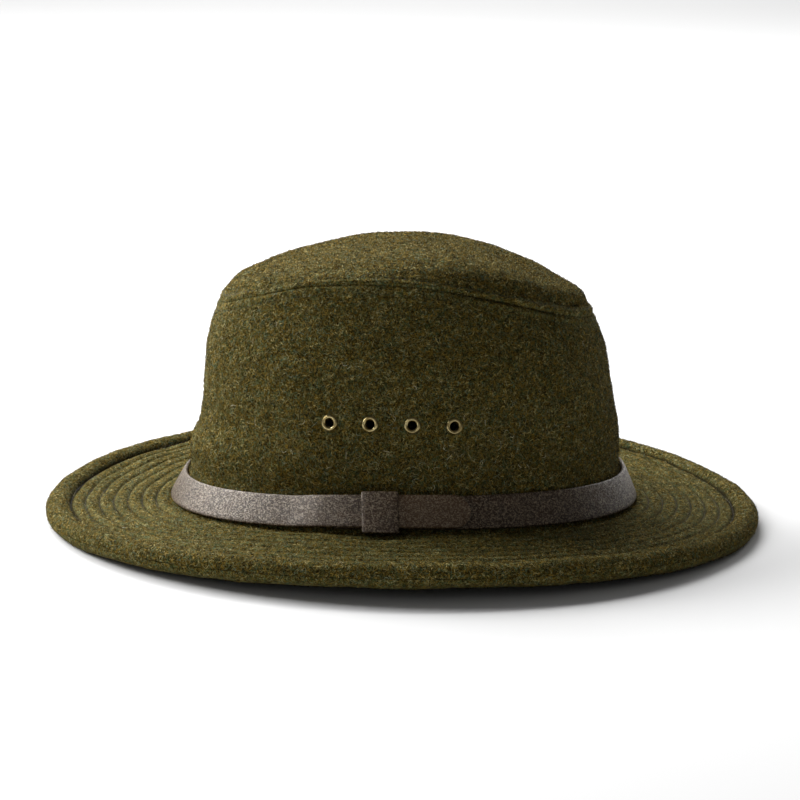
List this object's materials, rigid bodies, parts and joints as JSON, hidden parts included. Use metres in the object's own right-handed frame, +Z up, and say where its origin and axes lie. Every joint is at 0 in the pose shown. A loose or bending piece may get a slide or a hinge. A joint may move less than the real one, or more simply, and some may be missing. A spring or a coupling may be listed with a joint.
{
  "type": "packer hat",
  "caption": "Cut and sewn wool packer hat: tapered crown with a seamed tip, stitched brim with a padded rolled edge, leather strap round the crown and brass vent eyelets.",
  "frame": {"origin": "centre of the hat's outline seen from above, at the height of the surface that it stands on", "axes": "+Z up, -X towards the front of the hat, -Y towards the wearer's left, the side with the strap's tip"},
  "size_m": [0.3378, 0.2996, 0.133],
  "materials": {
    "wool_cloth": "milled heather wool, soft and matt",
    "strap_leather": "smooth dark brown leather, satin",
    "eyelet_brass": "antique brass, dulled"
  },
  "bodies": {
    "root": {"crown_side": "wool_cloth", "crown_tip": "wool_cloth", "brim_upper": "wool_cloth", "brim_lower": "wool_cloth", "band_strap": "strap_leather", "band_keeper": "strap_leather", "eyelet_left_1": "eyelet_brass", "eyelet_left_2": "eyelet_brass", "eyelet_left_3": "eyelet_brass", "eyelet_left_4": "eyelet_brass", "eyelet_right_1": "eyelet_brass", "eyelet_right_2": "eyelet_brass", "eyelet_right_3": "eyelet_brass", "eyelet_right_4": "eyelet_brass"}
  },
  "joints": []
}
